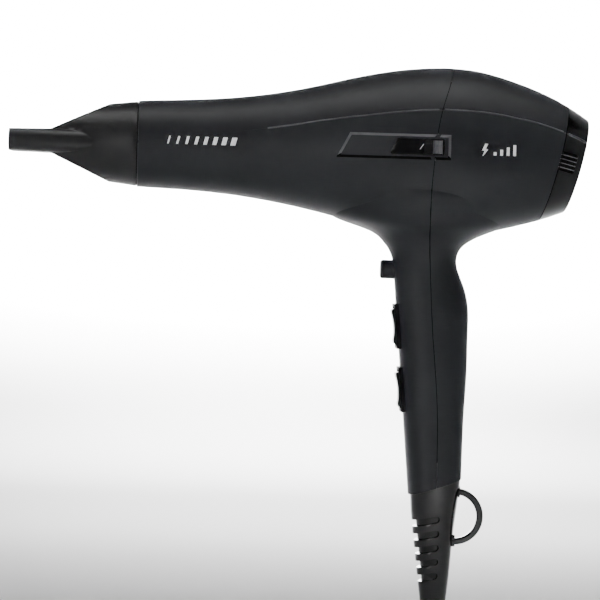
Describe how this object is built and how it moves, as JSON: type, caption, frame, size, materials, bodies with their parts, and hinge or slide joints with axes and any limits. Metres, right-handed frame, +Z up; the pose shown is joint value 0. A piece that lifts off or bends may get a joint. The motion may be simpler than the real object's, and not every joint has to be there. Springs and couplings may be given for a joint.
{
  "type": "hair dryer",
  "caption": "Hand-held hair dryer with a pull-off slot nozzle, rocker switches, a cool-air button, a removable rear filter cover and a hanging loop.",
  "frame": {"origin": "middle of the grip, where the hand holds the dryer", "axes": "+Z up along the handle, -X out of the nozzle and the front of the handle, Y across the dryer"},
  "size_m": [0.2987, 0.0815, 0.2914],
  "materials": {
    "soft_black": "soft-touch black lacquer on moulded plastic",
    "gloss_black": "polished black",
    "nozzle_black": "satin black, heat-proof nylon",
    "inner_plastic": "black glass-filled nylon",
    "white_plastic": "plain moulded",
    "rubber_black": "smooth black rubber",
    "mica": "pearly mica board",
    "steel": "bright drawn steel",
    "aluminium": "plain",
    "copper": "enamelled copper",
    "lamination": "stacked steel laminations"
  },
  "bodies": {
    "housing": {"front_housing": "soft_black", "rear_housing": "soft_black", "rear_guard": "inner_plastic", "side_window": "gloss_black", "side_badge": "gloss_black", "ion_switch": "inner_plastic", "outlet_grille": "inner_plastic", "ion_emitter": "steel", "mica_tube": "mica", "heater_frame": "mica", "heater_coils": "steel", "thermostat": "steel", "thermal_fuse": "aluminium", "stator": "lamination", "stator_windings": "copper", "carbon_brushes": "inner_plastic", "front_bearing": "steel", "rear_bearing": "steel", "front_bracket": "steel", "rear_bracket": "steel", "motor_screws": "steel", "fan_duct": "inner_plastic", "ion_generator": "white_plastic", "cool_switch": "inner_plastic", "cool_spring": "steel", "upper_switch": "gloss_black", "lower_switch": "gloss_black", "handle_screw": "steel", "terminal_block": "white_plastic", "cord_clamp": "inner_plastic", "clamp_screws": "steel", "strain_relief": "rubber_black", "hanging_loop": "rubber_black"},
    "fan_rotor": {"motor_shaft": "steel", "rotor": "lamination", "rotor_windings": "copper", "commutator": "copper", "fan": "inner_plastic"},
    "cool_button": {"cool_button": "soft_black"},
    "upper_rocker": {"upper_rocker": "gloss_black"},
    "lower_rocker": {"lower_rocker": "gloss_black"},
    "ion_slider": {"ion_slider": "gloss_black"},
    "rear_cover": {"rear_cover": "gloss_black", "inlet_grille": "gloss_black", "filter_mesh": "steel"},
    "nozzle_ring": {"nozzle_ring": "steel"},
    "nozzle": {"nozzle": "nozzle_black"}
  },
  "joints": [
    {"name": "fan_spin", "type": "hinge", "parent": "housing", "child": "fan_rotor", "pos_m": [0.004, 0, 0.115], "axis": [1, 0, 0], "continuous": true},
    {"name": "upper_rocker_tilt", "type": "hinge", "parent": "housing", "child": "upper_rocker", "pos_m": [-0.02031, 0, 0.02475], "axis": [0, 1, 0], "range_deg": [-10, 10]},
    {"name": "lower_rocker_tilt", "type": "hinge", "parent": "housing", "child": "lower_rocker", "pos_m": [-0.01701, 0, -0.00805], "axis": [0, 1, 0], "range_deg": [-10, 10]},
    {"name": "cool_button_press", "type": "slide", "parent": "housing", "child": "cool_button", "axis": [1, 0, 0], "range_m": [0, 0.003], "stiffness_N_per_m": 300, "springref_m": -0.002, "deforming": ["cool_spring"]},
    {"name": "ion_switch_slide", "type": "slide", "parent": "housing", "child": "ion_slider", "axis": [-1, 0, 0], "range_m": [0, 0.0045]},
    {"name": "rear_cover_pull", "type": "slide", "parent": "housing", "child": "rear_cover", "axis": [0.9748, 0, -0.2233], "range_m": [0, 0.03]},
    {"name": "nozzle_pull", "type": "slide", "parent": "housing", "child": "nozzle_ring", "axis": [-1, 0, 0], "range_m": [0, 0.03]},
    {"name": "nozzle_turn", "type": "hinge", "parent": "nozzle_ring", "child": "nozzle", "pos_m": [-0.16, 0, 0.115], "axis": [1, 0, 0], "continuous": true}
  ]
}
